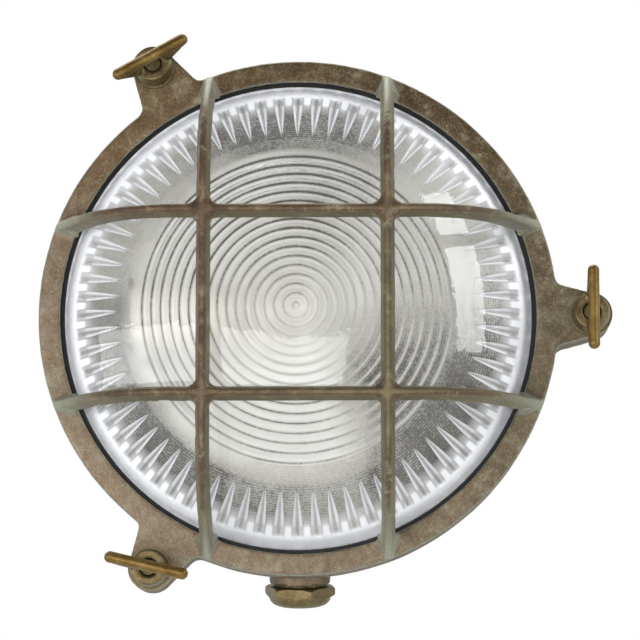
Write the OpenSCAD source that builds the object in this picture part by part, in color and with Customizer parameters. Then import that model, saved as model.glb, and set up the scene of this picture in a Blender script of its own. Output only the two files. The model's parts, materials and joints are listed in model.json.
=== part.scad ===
// Round outdoor wall light of cast brass. A drafted base is screwed to the wall, a pressed
// glass dome sits in a rubber channel in front of it, and a one-piece cage guard is drawn
// down over both by three bow nuts on studs. The cable comes in through a packing gland.
// Parts are drawn with Z as the distance from the wall, and front() stands them up: the
// wall is the plane Y = 0, the light faces -Y and +Z is up. All sizes are millimetres.

/* [Base casting] */
// Height of the base, from the wall to the face that the guard closes on
base_h = 52; // [50:1:58]
// Distance that the flat back is set in from the rim
back_inset = 18; // [16:0.5:22]
// Thickness of the rim and its lugs
rim_t = 12; // [9:0.5:14]
// Draft of the bowl's side, in degrees
bowl_draft = 12; // [10:1:13]
// Wall thickness of the bowl
bowl_wall = 4.5; // [3.5:0.5:5]
// Thickness of the bowl's floor
floor_t = 5; // [4:0.5:7]
// Rounding of the cast outer edges
cast_edge_r = 1.6; // [0.8:0.2:2.4]

/* [Lugs and studs] */
// Distance of the three studs outside the rim
stud_out = 14.8; // [13:0.2:18]
// Margin of a lug's round end outside its washer
lug_margin = 0.2; // [0:0.1:1.5]
// Taper of each side of a lug, in degrees
lug_taper = 14.7; // [10:0.1:18]
// Fillet between a lug and the ring
lug_fillet_r = 4; // [2:0.5:6]
// Diameter of the studs
stud_d = 8; // [6:0.5:8]
// Clearance of a stud in its hole through the guard's lug
stud_hole_gap = 0.5; // [0.3:0.1:1]
// Depth that a stud is screwed into the base's lug
stud_grip = 10; // [6:0.5:11]

/* [Guard] */
// Width of the ring's face
ring_w = 10.2; // [9:0.2:13]
// Width of rubber that shows between the glass and the ring
rubber_show = 2; // [1:0.2:3]
// Thickness of the lip that holds the rubber channel down
guard_lip_t = 4; // [3:0.25:4.5]
// Open joint between the guard and the base
parting_gap = 0.6; // [0.2:0.1:1.2]
// Distance of each cage bar from the light's axis
bar_offset = 41.7; // [36:0.5:46]
// Gap between the dome's middle and the plane of the bars' backs
bar_clear = 6.6; // [5:0.2:12]
// Width of a bar across its front land
bar_front_w = 3.8; // [2.4:0.2:4]
// Width of a bar at its back
bar_back_w = 7; // [5:0.1:8]
// Depth of a bar from front to back
bar_depth = 8.4; // [7:0.2:10]
// Rounding of a bar's front corners
bar_edge_r = 1.1; // [0.6:0.1:1.2]
// Slope of the legs against the ring's face, in degrees
leg_slope = 60; // [55:1:64]
// Radius of the bend between a leg and the bar's front
bar_bend_r = 50; // [30:1:56]
// Fillet in the corners where two bars cross
crossing_r = 2.4; // [1:0.2:4]
// Width of a leg's flared foot at the ring's opening
foot_w = 11.5; // [8:0.5:13]
// Height of the flared foot
foot_h = 4.5; // [3:0.5:7]

/* [Glass dome] */
// Diameter of the dome where it leaves the rubber channel
dome_d = 217.6; // [196:0.4:240]
// Height of the dome's middle above the ring's face
dome_rise = 35; // [28:1:38]
// Height of the dome's straight side in front of the channel
dome_side_h = 3; // [2:0.5:5]
// Power of the dome's crown: 2 is a parabola, and more is flatter in the middle
crown_power = 2.6; // [2:0.1:3.2]
// Wall thickness of the dome
glass_t = 5.5; // [4.5:0.5:6.5]
// Thickness of the flange that the rubber holds
glass_flange_t = 6; // [5:0.5:6.5]
// Width of the flange outside the dome
glass_flange_w = 4.8; // [4:0.2:5]
// Distance from one concentric rib to the next
rib_pitch = 4.3; // [3.5:0.1:4.6]
// Height of the concentric ribs
rib_h = 1; // [0.5:0.1:1.2]
// Least width of plain glass between the outermost ring and the radial ribs' points
plain_w = 11; // [8:0.5:16]
// Number of radial ribs round the dome's side
flute_count = 72; // [36:4:80]
// Height of the radial ribs
flute_h = 1.5; // [1.3:0.1:1.8]
// Distance from the rim to the point of a radial rib, seen from the front
flute_len = 26.8; // [20:0.2:30]
// Width of a radial rib at the rim
flute_w = 7; // [4:0.2:8]

/* [Rubber channel] */
// Thickness of the rubber channel's walls
rubber_t = 2.5; // [2:0.25:3]
// Depth that the channel sits in the base's rim
seat_depth = 2.5; // [1.5:0.25:3]

/* [Bow nuts] */
// Height of a bow nut's hub
hub_h = 9; // [7:0.5:12]
// Diameter of the hub at its base
hub_base_d = 18.4; // [17:0.2:19.6]
// Diameter of the hub at its top
hub_top_d = 16; // [15:0.2:16.8]
// Overall length of the bow's grip bar
grip_len = 39; // [34:1:44]
// Diameter of the grip bar
grip_d = 5.4; // [4.4:0.2:6]
// Height of the grip bar's middle above the hub
grip_rise = 13; // [10:0.5:16]
// Diameter of the bow's legs where they join the hub
bow_leg_d = 4.8; // [4:0.2:5.2]
// Outer diameter of the plain washers
washer_d = 20; // [19.8:0.2:20.4]
// Thickness of the plain washers
washer_t = 1.6; // [1:0.2:2]
// Turn of each nut's grip bar from the horizontal, in degrees
grip_turns = [90, 29, -13];

/* [Cable gland] */
// Height above the wall at which the gland's axis meets the bowl's side
gland_z = 25; // [24:0.5:27]
// Wall thickness of the cast spigot
spigot_wall = 2.5; // [2:0.5:4]
// Length of the spigot beyond the bowl's side
spigot_len = 14; // [12:0.5:17]
// Diameter of the threaded bore in the spigot
gland_thread_d = 24; // [22:0.5:24]
// Width of the gland nut across its flats
gland_flats = 29.5; // [28:0.5:31]
// Height of the gland nut's hexagon
gland_hex_h = 5.4; // [4:0.2:7]
// Height of the domed end beyond the hexagon
gland_dome_h = 4.4; // [3:0.2:6]
// Diameter of the cable hole through the gland
cable_d = 12; // [9:0.5:13]
// Thickness of the rubber seal
seal_t = 5; // [4:0.5:6]
// Turn of the hexagon, in degrees
gland_hex_turn = 10; // [0:1:59]

/* [Tray and lampholder] */
// Height of the white tray above the wall
tray_z = 24; // [23:0.5:27]
// Thickness of the tray's sheet
tray_sheet_t = 1.2; // [0.8:0.1:1.6]
// Gap between the tray's edge and the bowl's side
tray_gap = 2; // [1:0.5:4]
// Gap between the tray's edge and the glass in front of it
tray_glass_gap = 0.85; // [0.5:0.05:2]
// Width of the tray's flat edge
tray_edge_w = 7; // [4:0.5:10]
// Width that the tray's sloping wall takes up, seen from the front
tray_wall_w = 16; // [10:0.5:20]
// Gap between the tray's floor and the lampholder
holder_gap = 9.8; // [7:0.2:13]
// Diameter of the lampholder
holder_d = 38; // [36:0.5:42]
// Length of the lampholder
holder_len = 48; // [46:1:52]
// Gap between the lampholder's rear and the dome's side
rear_gap = 27.3; // [25:0.1:36]
// Diameter of the bulb
bulb_d = 45; // [42:1:48]
// Sheet thickness of the lampholder's bracket
bracket_t = 1.5; // [1.2:0.1:2]
// Width of the bracket
bracket_w = 34; // [32:1:38]

/* [Wiring] */
// Length of the terminal block
block_len = 34; // [32:1:38]
// Width of the terminal block
block_w = 16; // [14:1:18]
// Height of the terminal block
block_h = 11; // [10:0.5:12]
// Diameter of the insulated leads
lead_d = 2.6; // [2:0.2:2.8]

/* [Fixings] */
// Diameter of the circle of the wall screw holes
wall_pcd = 130; // [110:2:136]
// Diameter of the wall screw holes
wall_hole_d = 6.5; // [5:0.5:7]
// Thread diameter of the tray screws
tray_screw_d = 4; // [3:0.5:5]
// Distance of the tray screws in from the edge of the tray's floor
post_inset = 8; // [7:0.5:14]
// Length of the tray screws and the lampholder screws under the head
screw_len = 8; // [6:0.5:10]
// Thread diameter of the lampholder's and the terminal block's screws
small_screw_d = 3; // [2.5:0.5:3.5]
// Head diameter of the small screws
small_head_d = 5.5; // [5:0.25:6.5]
// Height of the screw heads
screw_head_h = 2.4; // [1.8:0.2:3]
// Clearance between faces that touch and move
face_gap = 0.05; // [0.02:0.01:0.1]
// Radial clearance of a part in its hole
fit_gap = 0.1; // [0.05:0.05:0.2]

/* [Hidden] */
$fn = 64;
eps = 0.5;

lug_angles = [0, 120, 240];

// Radii, from the glass outwards: the ring leaves some rubber in sight, and the studs stand
// outside the ring
dome_r = dome_d / 2;
guard_opening_r = dome_r + rubber_show;
rim_r = guard_opening_r + ring_w;
back_r = rim_r - back_inset;
stud_r = rim_r + stud_out;
lug_end_r = washer_d / 2 + lug_margin;
spigot_d = gland_thread_d + 2 * spigot_wall;

// Levels above the wall: the rubber stands on its seat, and the guard's lip on the rubber
guard_z0 = base_h + parting_gap;
seat_z = base_h - seat_depth;
rubber_z0 = seat_z + face_gap;
flange_z0 = rubber_z0 + rubber_t;
rubber_z1 = flange_z0 + glass_flange_t + rubber_t;
lip_z = rubber_z1 + face_gap;
face_z = lip_z + guard_lip_t;
guard_t = face_z - guard_z0;
apex_z = face_z + dome_rise;
bar_rise = dome_rise + bar_clear + bar_depth;
bars_z = face_z + bar_rise;
washer_z = face_z + face_gap;
nut_z = washer_z + washer_t + face_gap;
stud_top = nut_z + hub_h - 0.3;

// Glass and rubber
flange_r = dome_r + glass_flange_w;
rubber_r = flange_r + rubber_t;
seat_r = rubber_r + 0.5;
dome_h = apex_z - lip_z;
flute_tip_r = dome_r - flute_len;
rib_count = floor((flute_tip_r - plain_w) / rib_pitch);

// Radius of the bowl's outer and inner side at a height above the wall
function bowl_r(z) = back_r + z * tan(bowl_draft);
function bowl_inner_r(z) = bowl_r(z) - bowl_wall / cos(bowl_draft);

// Points along an arc of n steps round the centre c
function arc_points(c, r, from, to, n) =
    [for (i = [0:n]) let(a = from + (to - from) * i / n) c + r * [cos(a), sin(a)]];

// Height of the dome's outer side at the distance r from its axis, and how steep it is there
function crown_z(r) = lip_z + dome_side_h
    + (dome_h - dome_side_h) * (1 - pow(r / dome_r, crown_power));
function crown_slope(r) = (dome_h - dome_side_h) * crown_power / dome_r
    * pow(r / dome_r, crown_power - 1);

module front() rotate([90, 0, 0]) children();

module on_lug(i) rotate(lug_angles[i]) translate([stud_r, 0, 0]) children();

// Slab with the outline of a lug: a round end, tangent tapered sides and a fillet on each
// side where it runs out of the ring
module lug(t) {
    side = [sin(lug_taper), cos(lug_taper)];
    along = [cos(lug_taper), -sin(lug_taper)];
    reach = stud_r * side[0] + lug_end_r;
    fillet_at = (reach + lug_fillet_r) * side
        + sqrt(pow(rim_r + lug_fillet_r, 2) - pow(reach + lug_fillet_r, 2)) * along;
    rim_angle = atan2(fillet_at[1], fillet_at[0]);
    root_r = rim_r - 7;
    half = concat([[stud_r, 0] + lug_end_r * side],
        arc_points(fillet_at, lug_fillet_r, -90 - lug_taper, rim_angle - 180, 8),
        [root_r * [cos(rim_angle), sin(rim_angle)]]);
    translate([stud_r, 0, 0])
        cylinder(r = lug_end_r, h = t);
    linear_extrude(t)
        polygon(concat(half, [for (i = [len(half) - 1:-1:0]) [half[i][0], -half[i][1]]]));
}

module lug_holes(d, z0, z1)
    for (i = [0:2])
        on_lug(i)
            translate([0, 0, z0])
                cylinder(d = d, h = z1 - z0);

// Gland frame: the origin where the axis meets the bowl's side, Z out along the axis,
// which stands square to the drafted side
module at_gland()
    translate([0, -bowl_r(gland_z), gland_z])
        rotate([90 + bowl_draft, 0, 0])
            children();

// Cheese-head screw with its head's underside at Z = 0
module slotted_screw(d, len, head_d, head_h) {
    difference() {
        cylinder(d1 = head_d, d2 = head_d * 0.86, h = head_h, $fn = 32);
        translate([-head_d, -d / 8, head_h * 0.5])
            cube([2 * head_d, d / 4, head_h]);
    }
    translate([0, 0, -len])
        cylinder(d = d, h = len + eps, $fn = 32);
}

// Tray: its edge lies in the bowl, close behind the glass
tray_top = tray_z + tray_sheet_t;
tray_edge_h = flange_z0 - tray_glass_gap - tray_top;
tray_r = bowl_inner_r(tray_z + tray_edge_h) - tray_gap;
tray_wall_r = tray_r - tray_edge_w;
tray_floor_r = tray_wall_r - tray_wall_w;

// Inner places
wall_hole_angles = [30, 150, 270];
post_angles = [90, 210, 330];
post_r = tray_floor_r - post_inset;
post_d = tray_screw_d + 6;
post_hole_h = screw_len + 3;
pad_h = 3;
block_y = -38;
block_z0 = floor_t + 2;
clamp_x = block_len / 4;
lead_z = block_z0 + block_h / 2;
earth_at = [30, -34];
earth_boss_h = 5;
earth_screw_len = 6;

module base_casting() color("#8f7a5c") front() difference() {
    union() {
        difference() {
            bowl_solid();
            bowl_cavity();
        }
        for (a = post_angles)
            rotate(a) translate([post_r, 0, floor_t - eps])
                cylinder(d = post_d, h = tray_z - floor_t + eps);
        for (a = wall_hole_angles)
            rotate(a) translate([wall_pcd / 2, 0, floor_t - eps])
                cylinder(d = wall_hole_d + 9, h = pad_h + eps);
        translate([-block_len / 2 + 2, block_y - block_w / 2 + 1, floor_t - eps])
            cube([block_len - 4, block_w - 2, block_z0 - floor_t + eps]);
        translate([earth_at[0], earth_at[1], floor_t - eps])
            cylinder(d = 10, h = earth_boss_h + eps);
    }
    lug_holes(stud_d, base_h - stud_grip, base_h + eps);
    for (a = wall_hole_angles)
        rotate(a) translate([wall_pcd / 2, 0, -eps])
            cylinder(d = wall_hole_d, h = floor_t + pad_h + 2 * eps);
    for (a = post_angles)
        rotate(a) translate([post_r, 0, tray_z - post_hole_h])
            cylinder(d = tray_screw_d + 2 * fit_gap, h = post_hole_h + eps);
    translate([0, block_y, block_z0 - 5])
        cylinder(d = small_screw_d + 2 * fit_gap, h = 5 + eps);
    translate([earth_at[0], earth_at[1], floor_t + earth_boss_h - earth_screw_len - 1])
        cylinder(d = tray_screw_d + 2 * fit_gap, h = earth_screw_len + 1 + eps);
    at_gland() {
        translate([0, 0, 1])
            cylinder(d = gland_thread_d, h = spigot_len);
        translate([0, 0, -2 * bowl_wall])
            cylinder(d = cable_d + 2, h = 3 * bowl_wall);
    }
}

module bowl_solid() {
    rotate_extrude($fn = 180)
        polygon(concat(
            [[0, 0]],
            arc_points([back_r - cast_edge_r, cast_edge_r], cast_edge_r, -90, -bowl_draft, 3),
            [[bowl_r(base_h - rim_t), base_h - rim_t]],
            arc_points([rim_r - cast_edge_r, base_h - rim_t + cast_edge_r], cast_edge_r, -90, 0, 3),
            [[rim_r, base_h], [0, base_h]]));
    for (a = lug_angles)
        rotate(a) translate([0, 0, base_h - rim_t]) lug(rim_t);
    at_gland()
        translate([0, 0, -0.7 * bowl_wall])
            cylinder(d = spigot_d, h = spigot_len + 0.7 * bowl_wall);
}

module bowl_cavity() {
    rotate_extrude($fn = 180)
        polygon([[0, floor_t], [bowl_inner_r(floor_t) - 4, floor_t],
            [bowl_inner_r(floor_t + 4), floor_t + 4],
            [bowl_inner_r(base_h + eps), base_h + eps], [0, base_h + eps]]);
    translate([0, 0, seat_z])
        cylinder(r = seat_r, h = seat_depth + eps, $fn = 180);
}

// Section of a cage bar as [across, inward] points: its front land lies at 0, its flanks
// are drafted
flank = atan((bar_back_w - bar_front_w) / 2 / bar_depth);
corner_x = bar_front_w / 2 - bar_edge_r;
bar_section = concat(
    arc_points([corner_x, -bar_edge_r], bar_edge_r, flank, 90, 3),
    arc_points([-corner_x, -bar_edge_r], bar_edge_r, 90, 180 - flank, 3),
    [[-bar_back_w / 2, -bar_depth], [bar_back_w / 2, -bar_depth]]);

// Section of the flare that spreads a leg's foot over the ring
module foot_section()
    polygon([[-bar_front_w / 2, -bar_edge_r], [bar_front_w / 2, -bar_edge_r],
        [foot_w / 2, -bar_depth], [-foot_w / 2, -bar_depth]]);

// Straight run of a section along X, its front on the plane Z = 0
module run_x(len)
    rotate([90, 0, 90])
        linear_extrude(len)
            children();

// A leg's outer line reaches the ring's face at the ring's outer edge
foot_x = sqrt(pow(rim_r, 2) - pow(bar_offset, 2));
bend_reach = bar_bend_r * tan(leg_slope / 2);
bend_x = foot_x - bar_rise / tan(leg_slope) - bend_reach;
leg_len = bar_rise / sin(leg_slope) - bend_reach;
leg_sink = 3;

// Stations of a bar's front line as [x, z, slope], from the middle to the foot's end
bend_steps = 10;
half_bar = concat(
    [for (i = [0:bend_steps]) let(a = leg_slope * i / bend_steps)
        [bend_x + bar_bend_r * sin(a), bars_z - bar_bend_r * (1 - cos(a)), a]],
    [let(len = leg_len + leg_sink)
        [bend_x + bar_bend_r * sin(leg_slope) + len * cos(leg_slope),
        bars_z - bar_bend_r * (1 - cos(leg_slope)) - len * sin(leg_slope), leg_slope]]);
bar_stations = concat(
    [for (i = [len(half_bar) - 1:-1:0]) [-half_bar[i][0], half_bar[i][1], -half_bar[i][2]]],
    half_bar);

// Cage bar in the plane Y = bar_offset: a straight front, then a bend and a sloping leg
// at each end
module cage_bar() {
    n = len(bar_section);
    last = (len(bar_stations) - 1) * n;
    polyhedron(
        points = [for (s = bar_stations, p = bar_section)
            [s[0] + p[1] * sin(s[2]), bar_offset + p[0], s[1] + p[1] * cos(s[2])]],
        faces = concat(
            [[for (k = [0:n - 1]) k], [for (k = [n - 1:-1:0]) last + k]],
            [for (j = [0:n:last - n], k = [0:n - 1])
                let(to = (k + 1) % n) [j + k, j + n + k, j + n + to, j + to]]));
}

module cage_feet() intersection() {
    translate([0, bar_offset, bars_z - bar_bend_r])
        for (s = [0, 1])
            mirror([s, 0, 0])
                translate([bend_x, 0, 0])
                    rotate([0, leg_slope, 0])
                        translate([leg_len - 2 * foot_h, 0, bar_bend_r])
                            run_x(2 * foot_h + leg_sink) foot_section();
    translate([0, 0, face_z - 1])
        cylinder(r = 2 * rim_r, h = foot_h + 1);
}

// Web with a round fillet in each of the four corners of a crossing
module crossing_web() difference() {
    side = bar_back_w + 2 * crossing_r - 0.6;
    web_z = bar_depth - bar_edge_r;
    translate([-side / 2, -side / 2, -bar_depth])
        cube([side, side, web_z]);
    for (x = [-1, 1], y = [-1, 1])
        translate([x * side / 2, y * side / 2, -bar_depth - eps])
            cylinder(r = crossing_r, h = web_z + 2 * eps, $fn = 32);
}

module front_guard() color("#8a7656") front() difference() {
    union() {
        rotate_extrude($fn = 180)
            polygon(concat(
                [[guard_opening_r - eps, guard_z0]],
                [[rim_r - 0.4, guard_z0], [rim_r, guard_z0 + 0.4]],
                arc_points([rim_r - cast_edge_r, face_z - cast_edge_r], cast_edge_r, 0, 90, 4),
                [[guard_opening_r - eps, face_z]]));
        for (a = lug_angles)
            rotate(a) translate([0, 0, guard_z0]) lug(guard_t);
        intersection() {
            union()
                for (a = [0, 90, 180, 270])
                    rotate(a) {
                        cage_bar();
                        cage_feet();
                        translate([bar_offset, bar_offset, bars_z]) crossing_web();
                    }
            translate([0, 0, face_z - leg_sink])
                cylinder(r = rim_r, h = bar_rise + leg_sink + eps, $fn = 180);
        }
    }
    translate([0, 0, guard_z0 - eps])
        cylinder(r = seat_r, h = lip_z - guard_z0 + eps, $fn = 180);
    translate([0, 0, guard_z0 - eps])
        cylinder(r = guard_opening_r, h = guard_t + eps, $fn = 180);
    lug_holes(stud_d + 2 * stud_hole_gap, guard_z0 - eps, face_z + eps);
}

// Outer side of the dome, down over the flange that the rubber holds
module dome_solid()
    rotate_extrude($fn = 180)
        polygon(concat(
            [for (i = [0:18]) let(r = dome_r * sin(5 * i)) [r, crown_z(r)]],
            [[dome_r, flange_z0 + glass_flange_t], [flange_r, flange_z0 + glass_flange_t],
            [flange_r, flange_z0], [0, flange_z0]]));

// Inside of the dome at a depth under its outer side, with or without concentric ribs
module dome_inside(depth, ribs) {
    function inner_z(r) = crown_z(r) - depth * sqrt(1 + pow(crown_slope(r), 2));
    inner_r = dome_r - depth;
    rib_zone = ribs ? rib_pitch * (rib_count + 0.5) : 0;
    rib_points = !ribs ? [] : [for (k = [0:rib_count], part = [0, 1 / 3, 2 / 3])
        let(r = rib_pitch * (k - 0.5 + part))
        if (r >= 0 && r < rib_zone) [r, inner_z(r) - (part > 0 ? rib_h : 0)]];
    steps = ribs ? 8 : 16;
    rotate_extrude($fn = 180)
        polygon(concat(
            [[0, flange_z0 - eps]],
            [[0, inner_z(0)]],
            rib_points,
            [for (i = [ribs ? 0 : 1:steps])
                let(r = rib_zone + (inner_r - rib_zone) * i / steps) [r, inner_z(r)]],
            [[inner_r, flange_z0 - eps]]));
}

// Star whose points leave the radial ribs standing: each rib is a wedge in plan, from a
// point at flute_tip_r to its full width at the rim
module flute_star() {
    spread = asin(flute_w / 2 / dome_r);
    translate([0, 0, flange_z0 - 2 * eps])
        linear_extrude(dome_h + glass_flange_t + rubber_t)
            polygon([for (i = [0:flute_count - 1], k = [-1, 0, 1])
                let(a = 360 * i / flute_count + k * spread, r = k == 0 ? flute_tip_r : dome_r)
                r * [cos(a), sin(a)]]);
}

module glass_dome() color("#dfe6e8", 0.6) front() difference() {
    dome_solid();
    dome_inside(glass_t + flute_h, false);
    intersection() {
        dome_inside(glass_t, true);
        flute_star();
    }
}

module glass_gasket() color("#161616") front()
    rotate_extrude($fn = 180)
        polygon([[dome_r, rubber_z0], [rubber_r, rubber_z0], [rubber_r, rubber_z1],
            [dome_r, rubber_z1], [dome_r, rubber_z1 - rubber_t],
            [flange_r, rubber_z1 - rubber_t], [flange_r, flange_z0], [dome_r, flange_z0]]);

module stud(i) color("#6f6a5c") front() on_lug(i) {
    z0 = base_h - stud_grip;
    translate([0, 0, z0])
        cylinder(d = stud_d, h = stud_top - 1 - z0);
    translate([0, 0, stud_top - 1])
        cylinder(d1 = stud_d, d2 = stud_d - 2, h = 1);
}

module washer(i) color("#7d6a46") front() on_lug(i)
    translate([0, 0, washer_z])
        difference() {
            cylinder(d = washer_d, h = washer_t);
            translate([0, 0, -eps])
                cylinder(d = stud_d + 2 * fit_gap, h = washer_t + 2 * eps);
        }

// Closed bow: a straight grip bar over the stud's end, on two legs that flare out of the hub
module bow_nut(i) color("#a88a4a") front() on_lug(i)
    rotate(grip_turns[i] - lug_angles[i]) translate([0, 0, nut_z]) difference() {
        grip_x = grip_len / 2 - grip_d / 2;
        leg_x = hub_top_d / 2 - bow_leg_d / 2 + 0.4;
        leg_z = hub_h - 3;
        grip_z = hub_h + grip_rise;
        lean = atan2(grip_x - leg_x, grip_z - leg_z);
        union() {
            cylinder(d1 = hub_base_d, d2 = hub_top_d, h = hub_h);
            translate([-grip_x, 0, grip_z])
                rotate([0, 90, 0])
                    cylinder(d = grip_d, h = 2 * grip_x, $fn = 32);
            for (s = [0, 1])
                mirror([s, 0, 0]) {
                    translate([grip_x, 0, grip_z])
                        sphere(d = grip_d + 0.1, $fn = 32);
                    translate([leg_x, 0, leg_z])
                        rotate([0, lean, 0])
                            cylinder(d1 = bow_leg_d, d2 = grip_d,
                                h = norm([grip_x - leg_x, grip_z - leg_z]), $fn = 32);
                }
        }
        translate([0, 0, -eps])
            cylinder(d = stud_d + 2 * fit_gap, h = hub_h + grip_d / 2);
        translate([0, 0, hub_h - 0.8])
            cylinder(d1 = stud_d + 2 * fit_gap, d2 = stud_d + 2 * fit_gap + 2, h = 1);
    }

// Packing gland: the nut's shank presses a washer on a rubber seal in the spigot's bore
seal_z = 1;
gland_washer_t = 1.5;
gland_washer_z = seal_z + seal_t + face_gap;
shank_z = gland_washer_z + gland_washer_t + face_gap;
hex_z = spigot_len + 0.6;

module gland_seal() color("#1c1c1c") front() at_gland()
    translate([0, 0, seal_z])
        difference() {
            cylinder(d = gland_thread_d - 2 * fit_gap, h = seal_t);
            translate([0, 0, -eps])
                cylinder(d = cable_d, h = seal_t + 2 * eps);
        }

module gland_washer() color("#a88a4a") front() at_gland()
    translate([0, 0, gland_washer_z])
        difference() {
            cylinder(d = gland_thread_d - 2 * fit_gap, h = gland_washer_t);
            translate([0, 0, -eps])
                cylinder(d = cable_d + 1, h = gland_washer_t + 2 * eps);
        }

module gland_nut() color("#a8874a") front() at_gland() difference() {
    flat_r = gland_flats / 2;
    corner_r = flat_r / cos(30);
    end_z = hex_z + gland_hex_h + gland_dome_h;
    dome_foot_r = flat_r - 0.2;
    dome_run = dome_foot_r - cable_d / 2 - 2.55;
    union() {
        translate([0, 0, shank_z])
            cylinder(d = gland_thread_d - 2 * fit_gap, h = hex_z - shank_z + eps);
        intersection() {
            translate([0, 0, hex_z])
                rotate(gland_hex_turn)
                    cylinder(r = corner_r, h = gland_hex_h, $fn = 6);
            rotate_extrude()
                polygon([[0, hex_z], [flat_r + 0.4, hex_z], [corner_r, hex_z + 1],
                    [corner_r, hex_z + gland_hex_h - 1.4],
                    [flat_r, hex_z + gland_hex_h], [0, hex_z + gland_hex_h]]);
        }
        rotate_extrude()
            polygon(concat(
                [[0, hex_z + gland_hex_h - eps], [dome_foot_r, hex_z + gland_hex_h - eps]],
                [for (t = [0:15:90]) [dome_foot_r - dome_run * (1 - cos(t)),
                    hex_z + gland_hex_h + gland_dome_h * sin(t)]],
                [[0, end_z]]));
    }
    translate([0, 0, shank_z - eps])
        cylinder(d = cable_d + 1, h = end_z);
    translate([0, 0, end_z - 1.5])
        cylinder(d1 = cable_d + 1, d2 = cable_d + 5, h = 2);
}

// Inside, in front of the tray
bulb_z = tray_top + holder_gap + holder_d / 2;
holder_rear = dome_r - glass_t - rear_gap;
holder_screw_r = holder_d / 2 - 2.6;
chamber_r = holder_d / 2 - 5.2;
chamber_h = 8;
shell_z = 12;
shell_r = holder_d / 2 - 4.4;
shell_t = 0.7;
lead_x = -holder_rear + chamber_h / 2;
lead_gap = lead_d / 2 + fit_gap;
grommet_bore_r = lead_d + 2 * fit_gap;
grommet_waist_r = grommet_bore_r + 1.3;
foot_len = 27;
foot_screw_len = 6;
holder_shoulder_h = 9;
contact_r = 5;
contact_post_r = 2.2;
contact_t = 1.2;
bracket_corner_r = 5;
foot_screw_at = [foot_len - holder_rear - 6, bracket_w / 2 - 6];

module at_holder()
    translate([-holder_rear, 0, bulb_z])
        rotate([0, 90, 0])
            children();

// Two screws on a diagonal of the lampholder's rear
module on_holder_screws()
    for (a = [45, 225])
        rotate(a) translate([holder_screw_r, 0, 0]) children();

module reflector_tray() color("#f2f2ee") front() difference() {
    inset = tray_sheet_t * tan(atan2(tray_edge_h, tray_wall_w) / 2);
    rotate_extrude($fn = 180)
        polygon([[0, tray_z], [tray_floor_r, tray_z], [tray_wall_r, tray_z + tray_edge_h],
            [tray_r, tray_z + tray_edge_h], [tray_r, tray_top + tray_edge_h],
            [tray_wall_r - inset, tray_top + tray_edge_h], [tray_floor_r - inset, tray_top],
            [0, tray_top]]);
    for (a = post_angles)
        rotate(a) translate([post_r, 0, tray_z - eps])
            cylinder(d = tray_screw_d + 0.5, h = tray_sheet_t + 2 * eps);
    for (s = [-1, 1])
        translate([foot_screw_at[0], s * foot_screw_at[1], tray_z - eps])
            cylinder(d = small_screw_d + 2 * fit_gap, h = tray_sheet_t + 2 * eps);
    translate([lead_x, 0, tray_z - eps])
        cylinder(r = grommet_waist_r + fit_gap, h = tray_sheet_t + 2 * eps);
}

module tray_screws() color("#9a9a94") front()
    for (a = post_angles)
        rotate(a) translate([post_r, 0, tray_top])
            slotted_screw(tray_screw_d, screw_len, 2 * tray_screw_d, screw_head_h);

module lampholder_bracket() color("#a3a39e") front() difference() {
    corner = bracket_corner_r;
    top_z = bulb_z + holder_screw_r * sin(45) + corner;
    half_w = bracket_w / 2;
    union() {
        translate([-holder_rear - bracket_t, 0, 0])
            rotate([90, 0, 90])
                linear_extrude(bracket_t)
                    polygon(concat(
                        [[half_w, tray_top]],
                        arc_points([half_w - corner, top_z - corner], corner, 0, 90, 5),
                        arc_points([corner - half_w, top_z - corner], corner, 90, 180, 5),
                        [[-half_w, tray_top]]));
        translate([-holder_rear - bracket_t, -half_w, tray_top])
            cube([foot_len + bracket_t, bracket_w, bracket_t]);
    }
    translate([-holder_rear - bracket_t - eps, 0, bulb_z])
        rotate([0, 90, 0])
            on_holder_screws()
                cylinder(d = small_screw_d + 2 * fit_gap, h = bracket_t + 2 * eps);
    for (s = [-1, 1])
        translate([foot_screw_at[0], s * foot_screw_at[1], tray_top - eps])
            cylinder(d = small_screw_d + 2 * fit_gap, h = bracket_t + 2 * eps);
    translate([lead_x, 0, tray_top - eps])
        cylinder(r = grommet_waist_r + 1.8, h = bracket_t + eps + 0.2);
}

module bracket_screws() color("#9a9a94") front()
    for (s = [-1, 1])
        translate([foot_screw_at[0], s * foot_screw_at[1], tray_top + bracket_t])
            slotted_screw(small_screw_d, foot_screw_len, small_head_d, screw_head_h);

module lampholder_body() color("#f4f1ea") front() at_holder() difference() {
    outer_r = holder_d / 2;
    rotate_extrude()
        polygon(concat(
            [[0, 0], [outer_r, 0], [outer_r, holder_shoulder_h],
            [outer_r - 1.5, holder_shoulder_h + 2]],
            arc_points([outer_r - 3.5, holder_len - 2], 2, 0, 90, 3),
            [[0, holder_len]]));
    translate([0, 0, -eps])
        cylinder(r = chamber_r, h = chamber_h + eps);
    translate([0, 0, shell_z])
        cylinder(r = shell_r + fit_gap, h = holder_len);
    cylinder(r = contact_post_r + fit_gap, h = shell_z + eps);
    translate([0, 0, -eps])
        on_holder_screws()
            cylinder(d = small_screw_d + 2 * fit_gap, h = screw_len + 1);
    translate([0, 0, chamber_h / 2])
        rotate([0, 90, 0])
            cylinder(r = grommet_bore_r + 0.4, h = holder_d);
}

module holder_screws() color("#9a9a94") front()
    translate([-holder_rear - bracket_t, 0, bulb_z])
        rotate([0, 90, 0])
            on_holder_screws()
                mirror([0, 0, 1])
                    slotted_screw(small_screw_d, screw_len, small_head_d, screw_head_h);

module screw_shell() color("#c9a857") front() at_holder()
    translate([0, 0, shell_z])
        difference() {
            cylinder(r = shell_r, h = holder_len - shell_z - 8);
            translate([0, 0, shell_t])
                cylinder(r = shell_r - shell_t, h = holder_len);
            translate([0, 0, -eps])
                cylinder(r = contact_r + 3, h = 2);
        }

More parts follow.
